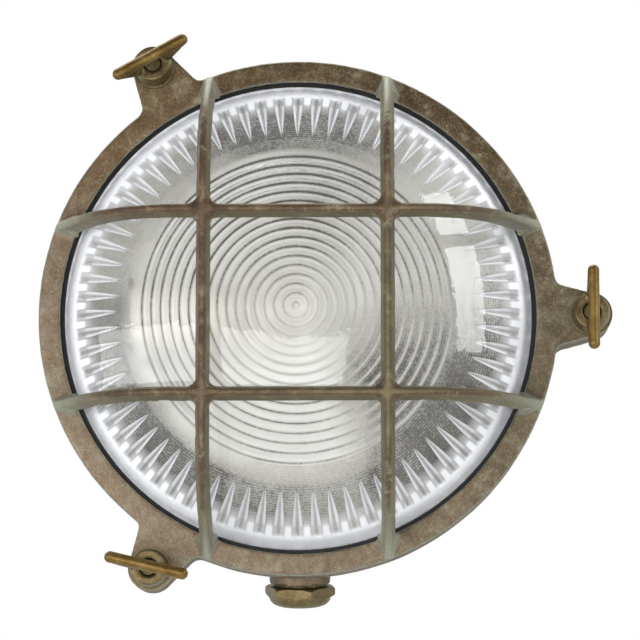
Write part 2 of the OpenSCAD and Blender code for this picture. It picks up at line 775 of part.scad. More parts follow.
module centre_contact() color("#c9a857") front() at_holder() {
    translate([0, 0, chamber_h - 1])
        cylinder(r = contact_post_r, h = shell_z - chamber_h + 1 + eps);
    translate([0, 0, shell_z])
        cylinder(r = contact_r, h = contact_t);
}

// Opal globe bulb: contact, screw cap and blown globe
module bulb() color("#fbfaf5") front() at_holder() {
    cap_r = shell_r - shell_t - 0.9;
    tip_r = contact_r - 0.5;
    tip_z = shell_z + contact_t;
    cap_z = holder_len - 5;
    globe_r = bulb_d / 2;
    globe_z = cap_z + globe_r + 1;
    neck_angle = acos((cap_r + 1.5) / globe_r);
    rotate_extrude()
        polygon(concat(
            [[0, tip_z], [tip_r, tip_z], [tip_r, tip_z + 1.5], [2 * tip_r, tip_z + 3],
            [cap_r, tip_z + 5], [cap_r, cap_z], [cap_r + 0.7, cap_z + 1]],
            arc_points([0, globe_z], globe_r, -neck_angle, 90, 16)));
}

module lead_grommet() color("#242424") front()
    translate([lead_x, 0, 0])
        rotate_extrude($fn = 32)
            polygon([[grommet_bore_r, tray_z - 1.2], [grommet_waist_r + 1.4, tray_z - 1.2],
                [grommet_waist_r + 1.4, tray_z], [grommet_waist_r, tray_z],
                [grommet_waist_r, tray_top], [grommet_waist_r + 1.4, tray_top],
                [grommet_waist_r + 1.4, tray_top + 1.2], [grommet_bore_r, tray_top + 1.2]]);

// Ring of points square to a lead's route at p, for a heading in plan and a climb
lead_sides = 12;
function lead_ring(p, heading, climb) =
    let(side = [sin(heading), -cos(heading), 0],
        along = [cos(heading) * cos(climb), sin(heading) * cos(climb), sin(climb)],
        up = cross(side, along))
    [for (k = [0:lead_sides - 1]) let(a = 360 * k / lead_sides)
        p + lead_d / 2 * (cos(a) * side + sin(a) * up)];

// Lead from a clamp of the terminal block at x, round to the grommet and up into the
// lampholder: y is its place in the grommet
module lead(x, y) {
    bend = 6;
    start = [x, block_y + block_w / 2 + 2];
    centre = start - [bend, 0];
    goal = [lead_x, y];
    toward = goal - centre;
    run = sqrt(pow(norm(toward), 2) - pow(bend, 2));
    heading = atan2(toward[1], toward[0]) + 90 - atan2(run, bend);
    onward = [cos(heading), sin(heading)];
    rings = concat(
        [lead_ring([start[0], start[1] - block_w / 2, lead_z], 90, 0)],
        [for (i = [0:6]) let(h = 90 + (heading - 90) * i / 6)
            lead_ring([centre[0] + bend * sin(h), centre[1] - bend * cos(h), lead_z], h, 0)],
        [for (climb = [0:15:90])
            lead_ring(concat(goal - bend * (1 - sin(climb)) * onward,
                [lead_z + bend * (1 - cos(climb))]), heading, climb)],
        [lead_ring([goal[0], goal[1], bulb_z - 8], heading, 90)]);
    n = lead_sides;
    last = (len(rings) - 1) * n;
    polyhedron(
        points = [for (ring = rings, p = ring) p],
        faces = concat(
            [[for (k = [n - 1:-1:0]) k], [for (k = [0:n - 1]) last + k]],
            [for (j = [0:n:last - n], k = [0:n - 1], half = [0, 1])
                let(from = j + k, to = j + (k + 1) % n)
                half == 0 ? [from, to, to + n] : [from, to + n, from + n]]));
}

module live_lead() color("#7a4b2c") front() lead(-clamp_x, -lead_gap);

module neutral_lead() color("#3d5f8f") front() lead(clamp_x, lead_gap);

// Terminal block with a brass clamp in each of its two bores
clamp_r = 2.9;
clamp_screw_y = 4.5;

module terminal_block() color("#e8e4da") front() difference() {
    translate([-block_len / 2, block_y - block_w / 2, block_z0])
        cube([block_len, block_w, block_h]);
    for (s = [-1, 1])
        translate([s * clamp_x, block_y + block_w / 2 + eps, lead_z])
            rotate([90, 0, 0])
                cylinder(r = clamp_r + fit_gap, h = block_w + 2 * eps, $fn = 32);
    for (x = [-clamp_x, clamp_x], y = [-clamp_screw_y, clamp_screw_y])
        translate([x, block_y + y, lead_z])
            cylinder(d = small_screw_d + 0.8, h = block_h, $fn = 32);
    translate([0, block_y, block_z0 - eps])
        cylinder(d = small_screw_d + 0.4, h = block_h + 2 * eps, $fn = 32);
}

module terminal_clamps() color("#c9a857") front()
    for (s = [-1, 1])
        translate([s * clamp_x, block_y, lead_z])
            difference() {
                rotate([90, 0, 0])
                    cylinder(r = clamp_r, h = block_w - 2, center = true, $fn = 32);
                rotate([90, 0, 0])
                    cylinder(d = lead_d + 2 * fit_gap, h = block_w, center = true, $fn = 32);
                for (y = [-clamp_screw_y, clamp_screw_y])
                    translate([0, y, 0])
                        cylinder(d = small_screw_d + 2 * fit_gap, h = block_h, $fn = 32);
            }

module clamp_screws() color("#b89b52") front()
    for (x = [-clamp_x, clamp_x], y = [-clamp_screw_y, clamp_screw_y])
        translate([x, block_y + y, lead_z + lead_d / 2 + fit_gap])
            difference() {
                cylinder(d = small_screw_d, h = block_h / 2 - lead_d / 2 - 0.5, $fn = 32);
                translate([-3, -0.4, block_h / 2 - lead_d / 2 - 1.5])
                    cube([6, 0.8, 2]);
            }

module block_screw() color("#9a9a94") front()
    translate([0, block_y, block_z0 + block_h])
        slotted_screw(small_screw_d, block_h + 4, small_head_d, screw_head_h);

module earth_screw() color("#b89b52") front()
    translate([earth_at[0], earth_at[1], floor_t + earth_boss_h + 1])
        slotted_screw(tray_screw_d, earth_screw_len, 2 * tray_screw_d, screw_head_h);

module earth_washer() color("#c9a857") front()
    translate([earth_at[0], earth_at[1], floor_t + earth_boss_h])
        difference() {
            cylinder(d = 9, h = 1);
            translate([0, 0, -eps])
                cylinder(d = tray_screw_d + 2 * fit_gap, h = 1 + 2 * eps);
        }

base_casting();
front_guard();
glass_dome();
glass_gasket();
stud(0);  // stud_right
stud(1);  // stud_upper_left
stud(2);  // stud_lower_left
washer(0);  // washer_right
washer(1);  // washer_upper_left
washer(2);  // washer_lower_left
bow_nut(0);  // bow_nut_right
bow_nut(1);  // bow_nut_upper_left
bow_nut(2);  // bow_nut_lower_left
gland_seal();
gland_washer();
gland_nut();
reflector_tray();
tray_screws();
lampholder_bracket();
bracket_screws();
lampholder_body();
holder_screws();
screw_shell();
centre_contact();
bulb();
lead_grommet();
live_lead();
neutral_lead();
terminal_block();
terminal_clamps();
clamp_screws();
block_screw();
earth_screw();
earth_washer();
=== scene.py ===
import json
import math

import bpy
import bmesh
import numpy as np
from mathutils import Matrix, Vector, noise


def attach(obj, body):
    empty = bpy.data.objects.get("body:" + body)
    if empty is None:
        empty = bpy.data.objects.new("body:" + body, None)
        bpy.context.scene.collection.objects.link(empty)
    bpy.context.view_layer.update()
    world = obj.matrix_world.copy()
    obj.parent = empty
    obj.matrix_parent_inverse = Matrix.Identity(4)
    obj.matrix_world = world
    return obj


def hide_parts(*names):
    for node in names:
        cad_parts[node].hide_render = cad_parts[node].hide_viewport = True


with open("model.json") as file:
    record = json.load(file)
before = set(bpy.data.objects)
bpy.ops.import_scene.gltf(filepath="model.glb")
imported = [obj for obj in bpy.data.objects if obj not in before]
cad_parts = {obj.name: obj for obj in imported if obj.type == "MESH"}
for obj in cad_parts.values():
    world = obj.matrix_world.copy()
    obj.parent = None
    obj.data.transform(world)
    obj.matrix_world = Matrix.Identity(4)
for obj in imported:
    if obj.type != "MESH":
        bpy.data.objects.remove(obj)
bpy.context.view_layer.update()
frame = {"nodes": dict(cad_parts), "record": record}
nodes = frame["nodes"]
bodies = frame["record"]["behaviour"]["bodies"]
bodyOf = {name: body for body, names in bodies.items() for name in names}
slotOf = {row["node"]: row["material_slot"] for row in frame["record"]["subparts"]}


def toLinear(code):
    parts = [int(code[i:i + 2], 16) / 255 for i in (1, 3, 5)]
    return [c / 12.92 if c <= 0.04045 else ((c + 0.055) / 1.055) ** 2.4 for c in parts] + [1.0]


# Adds a node: settings are its properties, values its constant inputs, and links the
# sockets that feed it. Kinds without the word Node are shader nodes
def add(tree, kind, links=None, values=None, **settings):
    node = tree.nodes.new(kind if "Node" in kind else "ShaderNode" + kind)
    for key, value in settings.items():
        setattr(node, key, value)
    for key, value in (values or {}).items():
        node.inputs[key].default_value = value
    for key, socket in (links or {}).items():
        tree.links.new(socket, node.inputs[key])
    return node


def ramp(tree, factor, stops):
    node = add(tree, "ValToRGB", {"Fac": factor})
    elements = node.color_ramp.elements
    while len(elements) < len(stops):
        elements.new(0.5)
    for element, (place, colour) in zip(elements, stops):
        element.position = place
        element.color = toLinear(colour) if isinstance(colour, str) else [colour] * 3 + [1]
    return node.outputs["Color"]


def mathNode(tree, operation, *terms, clamp=False):
    links, values = {}, {}
    for index, term in enumerate(terms):
        (values if isinstance(term, (int, float)) else links)[index] = term
    return add(tree, "Math", links, values, operation=operation, use_clamp=clamp).outputs[0]


def product(tree, first, second):
    return mathNode(tree, "MULTIPLY", first, second)


# A value times a factor plus an offset, each of them a number or a socket
def scaled(tree, value, factor, offset, clamp=False):
    return mathNode(tree, "MULTIPLY_ADD", value, factor, offset, clamp=clamp)


def mixColours(tree, factor, first, second, blend="MIX"):
    node = add(tree, "Mix", {"Factor": factor}, data_type="RGBA", blend_type=blend)
    for name, value in (("A", first), ("B", second)):
        socket = [s for s in node.inputs if s.name == name and s.type == "RGBA"][0]
        if isinstance(value, str):
            socket.default_value = toLinear(value)
        else:
            tree.links.new(value, socket)
    return [s for s in node.outputs if s.type == "RGBA"][0]


def marksOf(tree, *names):
    return [add(tree, "Attribute", attribute_name=name).outputs["Fac"] for name in names]


def noiseOf(tree, place, size, detail, roughness, distortion=0.0):
    return add(tree, "TexNoise", {"Vector": place}, {"Scale": 1 / size, "Detail": detail,
               "Roughness": roughness, "Distortion": distortion}).outputs["Fac"]


def bumpOf(tree, height, strength, distance):
    return add(tree, "Bump", {"Height": height}, {"Strength": strength, "Distance": distance}).outputs[0]


def newMaterial(name):
    material = bpy.data.materials.new(name)
    material.use_nodes = True
    tree = material.node_tree
    tree.nodes.clear()
    return material, tree, add(tree, "TexCoord").outputs["Object"]


# Sizes of the patterns in a brass skin, from broad blotches down to dust
skinSizes = {"broad": 0.04, "cloud": 0.008, "salts": 0.0025, "pits": 1 / 700, "grain": 0.0013,
             "specks": 0.0008, "dust": 0.0006}

# Cast skin. The painted side light and oliveAcross are slopes along x and z; proud metal starts
# at a height in front of the wall, and the stops of the flanks run from the ring to the bars' fronts,
# with painted shade next to the wall and a painted reflection further out
castLook = {
    "dimDark": "#4f4532", "dim": "#695c46", "dimLight": "#7b7059",
    "fairDark": "#7a6650", "fair": "#877560", "fairLight": "#9a8c78", "across": (-3.6, -1.6),
    "warm": "#dccbb0", "warmRise": 18.0, "warmFrom": -1.1,
    "rubbedDark": "#48372a", "rubbed": "#7c6248", "proudFrom": 0.068, "proudOver": 0.02, "paintedEdgeShade": 0.75,
    "olive": "#777153", "oliveSide": 0.7, "oliveAcross": (7.0, -6.0), "oliveFrom": -0.35,
    "flankStops": [(0.05, "#544a38"), (0.12, "#a2a798"), (0.4, "#909280"), (0.9, "#6b664c")],
    "flankRise": -18.0, "flankFrom": -1.15, "flanks": 0.85, "proudFlanks": 0.75,
    "speck": "#b8ad96", "specks": 0.32, "wearAndHighlight": "#9c8a68", "wornFrom": 0.85, "wornShare": 0.7,
    "verdigris": "#989880", "salts": 0.65, "saltsFrom": 0.27, "hollows": 0.6,
    "metal": 0.55, "rough": 0.52, "bump": 0.5, "relief": 0.0004,
}

# Nuts and gland: handled, so brighter and with less salt
nutLook = dict(castLook, dimDark="#4a3d26", dim="#6f603f", dimLight="#847552", fairDark="#524429",
               fair="#726243", fairLight="#897a5a", across=(0.0, 0.0), warm="#ffffff",
               rubbedDark="#624c22", rubbed="#8f733c", proudFrom=0.076, proudOver=0.006, paintedEdgeShade=0.0,
               oliveSide=0.0, flankStops=[(0.3, "#6c6647"), (0.7, "#8d8560")], flanks=0.6,
               proudFlanks=0.2, speck="#b2a57c", specks=0.2, wearAndHighlight="#a9915f", wornFrom=0.7,
               salts=0.2, hollows=0.3, metal=0.8, rough=0.42, bump=0.3)

studLook = dict(nutLook, dim="#5f543d", fair="#6a5d44", fairLight="#7d6d4c", rubbedDark="#3d3833",
                rubbed="#655c52", rough=0.45)


# Aged brass: a brown skin, lighter to one side by painted light and rubbed where it stands
# proud, olive to the lower right, with flanks that are partly green patina and partly painted
# reflection and shade, pale green salts in patches and hollows, and pits from the sand mould
def agedBrass(name, look):
    material, tree, place = newMaterial(name)
    at = add(tree, "SeparateXYZ", {"Vector": place}).outputs
    front, edge, hollow = marksOf(tree, "front", "edge", "hollow")
    broad = noiseOf(tree, place, skinSizes["broad"], 3, 0.5)
    cloud = noiseOf(tree, place, skinSizes["cloud"], 5, 0.6, 0.4)
    grain = noiseOf(tree, place, skinSizes["grain"], 4, 0.65)
    dust = noiseOf(tree, place, skinSizes["dust"], 3, 0.7)

    # The brown skin from its dim to its fair side, by broad blotches and by a painted light slope
    # that makes one side lighter; warmer and darker towards the top
    dim = ramp(tree, cloud, [(0.32, look["dimDark"]), (0.5, look["dim"]), (0.7, look["dimLight"])])
    fair = ramp(tree, cloud, [(0.32, look["fairDark"]), (0.5, look["fair"]), (0.7, look["fairLight"])])
    across = mathNode(tree, "ADD", product(tree, at["X"], look["across"][0]),
                      product(tree, at["Z"], look["across"][1]))
    blend = mathNode(tree, "ADD", scaled(tree, broad, 1.2, -0.1), across)
    skin = mixColours(tree, ramp(tree, blend, [(0.25, 0.0), (0.75, 1.0)]), dim, fair)
    above = scaled(tree, at["Z"], look["warmRise"], scaled(tree, broad, 1.6, look["warmFrom"]), clamp=True)
    skin = mixColours(tree, above, skin, look["warm"], "MULTIPLY")

    # Rubbed metal where it stands proud, turning olive
    proud = scaled(tree, at["Y"], -1 / look["proudOver"], -look["proudFrom"] / look["proudOver"], clamp=True)
    rubbed = ramp(tree, cloud, [(0.35, look["rubbedDark"]), (0.65, look["rubbed"])])
    side = scaled(tree, at["X"], look["oliveAcross"][0], scaled(tree, cloud, 1.5, look["oliveFrom"]))
    side = scaled(tree, at["Z"], look["oliveAcross"][1], side, clamp=True)
    rubbed = mixColours(tree, product(tree, side, look["oliveSide"]), rubbed, look["olive"])
    skin = mixColours(tree, proud, skin, rubbed)

    # Flanks coloured by their height: dark next to the wall is painted shade, and the pale grey-green
    # further out is partly green patina and partly painted reflection of the bright surroundings. A
    # painted shade line runs where a bar's front turns into them
    flank = mathNode(tree, "SUBTRACT", 1.0, scaled(tree, grain, 0.3, front))
    flank = ramp(tree, flank, [(0.0, 0.0), (0.3, 1.0)])
    height = scaled(tree, at["Y"], look["flankRise"], scaled(tree, grain, 0.2, look["flankFrom"]))
    cover = scaled(tree, proud, look["proudFlanks"] - look["flanks"], look["flanks"])
    skin = mixColours(tree, product(tree, flank, cover), skin, ramp(tree, height, look["flankStops"]))
    # Painted shade: a dark line along the turn from a bar's front into its flanks
    paintedEdgeShade = ramp(tree, front, [(0.6, 0.0), (0.8, 1.0), (0.93, 1.0), (0.985, 0.0)])
    paintedEdgeShade = product(tree, paintedEdgeShade, product(tree, proud, look["paintedEdgeShade"]))
    skin = mixColours(tree, paintedEdgeShade, skin, look["rubbedDark"])

    # Pale specks, fewer on the proud metal, and pale edges that are partly wear and partly painted highlight
    speck = ramp(tree, noiseOf(tree, place, skinSizes["specks"], 3, 0.65), [(0.52, 0.0), (0.68, 1.0)])
    speck = product(tree, speck, scaled(tree, proud, -0.6 * look["specks"], look["specks"]))
    skin = mixColours(tree, speck, skin, look["speck"])
    wearAndHighlight = ramp(tree, scaled(tree, grain, 0.35, edge),
                [(look["wornFrom"], 0.0), (look["wornFrom"] + 0.2, 1.0)])
    skin = mixColours(tree, product(tree, wearAndHighlight, look["wornShare"]), skin, look["wearAndHighlight"])

    # Salts in patches and in hollows
    patch = product(tree, cloud, noiseOf(tree, place, skinSizes["salts"], 5, 0.75, 0.8))
    salts = ramp(tree, patch, [(look["saltsFrom"], 0.0), (look["saltsFrom"] + 0.1, 1.0)])
    salts = mathNode(tree, "MAXIMUM", salts, product(tree, hollow, look["hollows"]))
    salts = product(tree, salts, look["salts"])
    zone = ramp(tree, scaled(tree, grain, 0.3, broad), [(0.55, 0.15), (0.72, 1.0)])
    skin = mixColours(tree, product(tree, salts, zone), skin, look["verdigris"])

    # Pits, and dark dust over all
    holes = add(tree, "TexVoronoi", {"Vector": place}, {"Scale": 1 / skinSizes["pits"]})
    pits = ramp(tree, holes.outputs["Distance"], [(0.1, 0.0), (0.28, 1.0)])
    skin = mixColours(tree, scaled(tree, pits, -0.6, 0.6), skin, look["dimDark"])
    skin = mixColours(tree, scaled(tree, dust, 2.4, -1.15, clamp=True), skin, look["dimDark"])

    rough = scaled(tree, grain, 0.25, look["rough"] - 0.12)
    relief = scaled(tree, cloud, 0.9, scaled(tree, grain, 0.8, product(tree, pits, 0.35)))
    shader = add(tree, "BsdfPrincipled", {
        "Base Color": skin,
        "Metallic": scaled(tree, salts, -0.5, look["metal"], clamp=True),
        "Roughness": scaled(tree, salts, 0.2, rough, clamp=True),
        "Normal": bumpOf(tree, relief, look["bump"], look["relief"]),
    })
    add(tree, "OutputMaterial", {"Surface": shader.outputs[0]})
    return material


# Plain finishes: a base colour with slow and fine variation, and a slight unevenness
def plainFinish(name, colours, size, rough, bump, metal=0.0, coat=0.0):
    material, tree, place = newMaterial(name)
    mottle = noiseOf(tree, place, size, 5, 0.6)
    fine = noiseOf(tree, place, size * 0.2, 3, 0.5)
    shader = add(tree, "BsdfPrincipled", {
        "Base Color": ramp(tree, mottle, [(0.3, colours[0]), (0.7, colours[1])]),
        "Roughness": scaled(tree, mottle, 0.15, rough - 0.07, clamp=True),
        "Normal": bumpOf(tree, fine, bump, 0.0002),
    }, {"Metallic": metal, "Coat Weight": coat})
    add(tree, "OutputMaterial", {"Surface": shader.outputs[0]})
    return material


# Glass: colours of painted shade, from clear to the darkest line, and of painted light, white
# and glint, how frosted and how dull it is inside, and the sizes of its mottle, its waves and the
# marks turned into the plunger
glassLook = {
    "outside": "#fdfefe", "clear": "#d8d6d4", "middle": "#a29d98", "dark": "#2f2b28", "line": "#0d0c0b",
    "white": "#d4d4d8", "paintedGlint": "#f0f0f4", "shadow": (0.93, 0.95, 0.95, 1),
    "frost": 0.12, "frostBright": 0.65, "dull": 0.3, "polished": 0.02, "refraction": 1.5,
    "grainSize": 0.0012, "cloudSize": 0.012, "waveSize": 0.008, "waveBump": 0.15, "waveDepth": 0.0006,
    "marks": 0.0011, "marksShare": 0.12, "darkest": 2.0,
}


# Clear pressed glass: a fire-polished outside, and an inside with the dull grain of the
# plunger, which blurs what lies behind it. The flanks of the radial ribs and the rim get painted
# light and read white and frosted, standing for light caught from all round, and the hollows
# between them get painted shade and read grey
def pressedGlass(name, look):
    material, tree, place = newMaterial(name)
    at = add(tree, "SeparateXYZ", {"Vector": place}).outputs
    # The dome's marks: whether a place lies inside, and its painted light and painted shade
    inside, paintedLight, paintedShade = marksOf(tree, "inside", "paintedLight", "paintedShade")
    grain = noiseOf(tree, place, look["grainSize"], 3, 0.6)
    cloud = noiseOf(tree, place, look["cloudSize"], 3, 0.5)
    wavy = noiseOf(tree, place, look["waveSize"], 3, 0.5, 0.6)

    # Mottle that breaks up the painted shade, with the turned marks round the axis
    square = mathNode(tree, "ADD", mathNode(tree, "POWER", at["X"], 2.0),
                      mathNode(tree, "POWER", at["Z"], 2.0))
    turned = product(tree, mathNode(tree, "SQRT", square), 2 * math.pi / look["marks"])
    turned = product(tree, mathNode(tree, "SINE", turned), look["marksShare"])
    mottle = mathNode(tree, "ADD", scaled(tree, grain, 1.2, product(tree, cloud, 0.8)), turned)

    # Painted shade from clear to the darkest line, then painted white light where the painted
    # light grows to 1, and a painted glint past that
    depth = product(tree, product(tree, paintedShade, 1 / look["darkest"]), mottle)
    tint = ramp(tree, depth, [(0.0, look["clear"]), (0.2, look["middle"]), (0.5, look["dark"]),
                              (0.8, look["line"])])
    white = mathNode(tree, "MULTIPLY", paintedLight, 1.0, clamp=True)
    tint = mixColours(tree, white, tint, look["white"])
    tint = mixColours(tree, scaled(tree, paintedLight, 2.0, -2.0, clamp=True), tint, look["paintedGlint"])
    frost = product(tree, inside, scaled(tree, paintedLight, look["frostBright"], look["frost"]))
    glass = add(tree, "BsdfPrincipled", {
        "Base Color": mixColours(tree, inside, look["outside"], tint),
        "Transmission Weight": mathNode(tree, "SUBTRACT", 1.0, frost, clamp=True),
        "Roughness": scaled(tree, inside, look["dull"], look["polished"]),
        "Normal": bumpOf(tree, wavy, look["waveBump"], look["waveDepth"]),
    }, {"IOR": look["refraction"]})
    through = add(tree, "BsdfTransparent", values={"Color": look["shadow"]})
    shadow = add(tree, "LightPath").outputs["Is Shadow Ray"]
    mix = add(tree, "MixShader", {0: shadow, 1: glass.outputs[0], 2: through.outputs[0]})
    add(tree, "OutputMaterial", {"Surface": mix.outputs[0]})
    return material


materials = {
    "cast_brass": agedBrass("agedCastBrass", castLook),
    "turned_brass": agedBrass("handledBrass", nutLook),
    "stud_brass": agedBrass("dulledBrass", studLook),
    "pressed_glass": pressedGlass("pressedGlass", glassLook),
    "contact_brass": plainFinish("brightBrass", ("#c39a4a", "#dcb763"), 0.004, 0.3, 0.1, metal=1.0),
    "opal_glass": plainFinish("opalGlass", ("#f4f2ea", "#fbfaf5"), 0.03, 0.2, 0.05, coat=0.4),
    "black_rubber": plainFinish("mouldedRubber", ("#050505", "#0d0d0d"), 0.006, 0.65, 0.4),
    "white_enamel": plainFinish("stovedEnamel", ("#f0f0ec", "#f8f8f5"), 0.02, 0.3, 0.15, coat=0.3),
    "zinc_steel": plainFinish("zincPlate", ("#a2a29c", "#bdbdb8"), 0.003, 0.35, 0.2, metal=1.0),
    "porcelain": plainFinish("glazedPorcelain", ("#efece3", "#f8f6ef"), 0.015, 0.15, 0.1, coat=0.6),
    "brown_sheath": plainFinish("brownSheath", ("#4a2a17", "#5a3520"), 0.004, 0.5, 0.2),
    "blue_sheath": plainFinish("blueSheath", ("#24406a", "#2f4f80"), 0.004, 0.5, 0.2),
    "nylon": plainFinish("nylon", ("#d8d4c6", "#e4e0d4"), 0.008, 0.45, 0.2),
}
for name, node in nodes.items():
    for slot in node.material_slots:
        slot.material = materials[slotOf[name]]
print("materials done")


def link(name, mesh):
    piece = bpy.data.objects.new(name, mesh)
    bpy.context.scene.collection.objects.link(piece)
    return piece


def applied(piece):
    bpy.context.view_layer.update()
    shape = piece.evaluated_get(bpy.context.evaluated_depsgraph_get())
    mesh = bpy.data.meshes.new_from_object(shape)
    piece.modifiers.clear()
    piece.data = mesh
    return mesh


def pointsAndNormals(mesh):
    points = np.zeros(len(mesh.vertices) * 3)
    mesh.vertices.foreach_get("co", points)
    normals = np.zeros(len(mesh.vertices) * 3)
    mesh.vertices.foreach_get("normal", normals)
    return points.reshape(-1, 3), normals.reshape(-1, 3)


def edgesOf(mesh):
    edges = np.zeros(len(mesh.edges) * 2, int)
    mesh.edges.foreach_get("vertices", edges)
    return edges.reshape(-1, 2)


def spread(values, edges, rounds):
    count = np.bincount(edges.ravel(), minlength=len(values)).astype(float)
    share = np.maximum(count if values.ndim == 1 else count[:, None], 1)
    for step in range(rounds):
        total = np.zeros_like(values)
        np.add.at(total, edges[:, 0], values[edges[:, 1]])
        np.add.at(total, edges[:, 1], values[edges[:, 0]])
        values = 0.5 * values + 0.5 * total / share
    return values


def store(mesh, name, values):
    layer = mesh.attributes.new(name, "FLOAT", "POINT")
    layer.data.foreach_set("value", values.astype(np.float32))


# Cast copies: voxel and smoothing of the remesh, and the height and size of the skin's waves
castings = {
    "base_casting": {"voxel": 0.0014, "smooth": 6, "wave": 0.00016, "waveSize": 0.013},
    "front_guard": {"voxel": 0.00092, "smooth": 3, "wave": 0.00012, "waveSize": 0.009},
    "gland_nut": {"voxel": 0.0004, "smooth": 4, "wave": 0.00003, "waveSize": 0.006},
}
for lug in ("right", "upper_left", "lower_left"):
    castings["bow_nut_" + lug] = {"voxel": 0.0004, "smooth": 7, "wave": 0.00008, "waveSize": 0.005}

# How the bend of a surface is read: rounds of smoothing under it and over the result, and
# the share of a voxel at which an edge or a hollow counts in full
bending = {"under": 6, "over": 4, "full": 0.9}
weldWithin = 1e-7


# Cast copy of a node: welded, remeshed and smoothed so that its edges go round, given the
# slow waves of a cast skin, and marked where it stands out and where it lies back
def castCopy(node, look):
    mesh = nodes[node].data.copy()
    mesh.materials.clear()
    shape = bmesh.new()
    shape.from_mesh(mesh)
    bmesh.ops.remove_doubles(shape, verts=shape.verts, dist=weldWithin)
    shape.to_mesh(mesh)
    shape.free()
    piece = link(node + "_cast", mesh)
    remesh = piece.modifiers.new("remesh", "REMESH")
    remesh.mode = "VOXEL"
    remesh.voxel_size = look["voxel"]
    soften = piece.modifiers.new("soften", "SMOOTH")
    soften.factor = 0.5
    soften.iterations = look["smooth"]
    mesh = applied(piece)
    points, normals = pointsAndNormals(mesh)
    edges = edgesOf(mesh)
    bend = np.einsum("ij,ij->i", points - spread(points, edges, bending["under"]), normals)
    bend = spread(bend, edges, bending["over"]) / (look["voxel"] * bending["full"])
    waves = np.array([noise.noise(Vector(p) / look["waveSize"]) for p in points])
    points += normals * (waves * look["wave"] - look["wave"] * 0.5)[:, None]
    mesh.vertices.foreach_set("co", points.ravel())
    store(mesh, "edge", np.clip(bend, 0, 1))
    store(mesh, "hollow", np.clip(-bend, 0, 1))
    store(mesh, "front", np.clip(-normals[:, 1], 0, 1))
    mesh.materials.clear()
    mesh.materials.append(materials[slotOf[node]])
    for polygon in mesh.polygons:
        polygon.use_smooth = True
    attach(piece, bodyOf[node])
    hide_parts(node)


for node, look in castings.items():
    castCopy(node, look)
print("cast pieces done")

# Pressed dome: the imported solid's sizes, with round ribs in place of its angular ones. The
# crown's depth falls off by a power of the radius
dome = {
    "radius": 0.1086, "lip": 0.0606, "height": 0.039, "side": 0.003, "power": 2.6,
    "thickness": 0.0055, "draft": 0.0022, "bevel": 0.0004, "rounding": 0.0003, "margin": 0.001,
    "flangeRadius": 0.1135, "flangeFront": 0.05805, "flangeBack": 0.05205,
    # seatBright, wallBright and rimBright are the painted light of the flange's seat, the inner wall and the
    # rim
    "seatBright": 1.1, "wallBright": 1.5, "rimBright": 1.6,
    "outer": 180, "coarse": 360, "fine": 1080, "crownRows": 26, "sideRows": 44,  # points and rows
}

# Concentric ribs: the height and the painted dark line over one pitch. Near the centre the
# painted shade turns to that of the middle
concentric = {
    "pitch": 0.0043, "count": 16, "height": 0.001, "crests": [1.0, 0.72, 0.2, 0.0, 0.2, 0.72],
    "lines": [0.0, 0.2, 1.0, 0.25, 0.0, 0.0], "centreCrest": 0.6, "centreShade": 0.2, "middleReach": 0.045,
}

# Radial ribs, called flutes: half is the half width where they are widest, and spots are
# places across one as shares of it, each with its painted light. Towards the rim the hollows
# get painted light, then painted light squares, and inwards of the points their painted shade
# spreads onto the plain glass
flute = {
    "count": 72, "tip": 0.081, "run": 0.015, "height": 0.0013, "half": 0.0022, "leastHalf": 0.0002,
    "widens": 0.75, "rises": 6, "rounds": 0.8, "spots": [0.0, 0.3, 0.6, 0.95, 1.12], "gapPoints": 6,
    "paintedLight": [0.15, 0.6, 1.25, 1.1, 0.0], "hollowOver": [1.0, 1.4],
    "litFrom": 0.0925, "litOver": 0.0045, "lit": 0.8, "squareFrom": 0.097, "square": 0.7,
    "squareDulls": 0.35, "rimFrom": 0.1012, "rimFlattens": 0.7, "edgeOver": 0.0006,
    "inwardFrom": 0.18, "inwardOver": 0.2,
}

# Painted shade of the glass round its axis, from 0 for clear, every 30 degrees from 15. These
# values were fitted to how bright the photograph is in the same twelve sectors, so they
# hold its light as painted light and shade: one value along each row makes the glass even.
# Lines are the painted dark line that the flank of a concentric rib adds, and below 0 that
# painted line is a light one
paintedGlassShade = {
    "middle": [0.14, 0.12, 0.18, 0.18, 0.15, 0.15, 0.18, 0.2, 0.12, 0.06, 0.0, 0.0],
    "middleLines": [0.4, 0.45, 0.6, 0.6, 0.6, 0.55, 0.4, 0.3, 0.2, 0.15, 0.4, 0.4],
    "rings": [0.25, 0.22, 0.25, 0.05, 0.0, 0.0, 0.08, 0.0, 0.02, 0.0, 1.0, 0.85],
    "lines": [0.8, 0.9, 2.0, 2.0, 1.6, 1.3, 1.0, 0.8, 1.0, 0.9, -0.85, -0.65],
    "inward": [0.2, 0.2, 0.75, 0.8, 0.5, 0.2, 0.0, 0.0, 0.1, 0.2, 0.75, 0.75],
    "plain": [0.35, 0.28, 0.4, 0.12, 0.3, 0.22, 0.1, 0.0, 0.3, 0.45, 1.0, 0.75],
    "hollows": [0.65, 0.35, 0.9, 1.0, 0.5, 0.5, 0.75, 1.1, 0.85, 0.7, 1.2, 1.0],
}


# Joins two rings of vertex numbers that may differ in count, walking both by angle
def bridge(first, second):
    faces, i, j = [], 0, 0
    n, m = len(first), len(second)
    while i < n or j < m:
        if j >= m or (i < n and (i + 1) * m <= (j + 1) * n):
            faces.append((first[i % n], first[(i + 1) % n], second[j % m]))
            i += 1
        else:
            faces.append((first[i % n], second[(j + 1) % m], second[j % m]))
            j += 1
    return faces


# How far a value has come from a start over a stretch, as a share
def shareOf(value, start, stretch):
    return min(1.0, max(0.0, (value - start) / stretch))


# The painted shade of the glass at each of some angles, from one row of the table
def around(name, angles):
    table = paintedGlassShade[name]
    middles = [360 / len(table) * (index + 0.5) for index in range(len(table))]
    return np.interp(np.degrees(angles), middles, table, period=360)
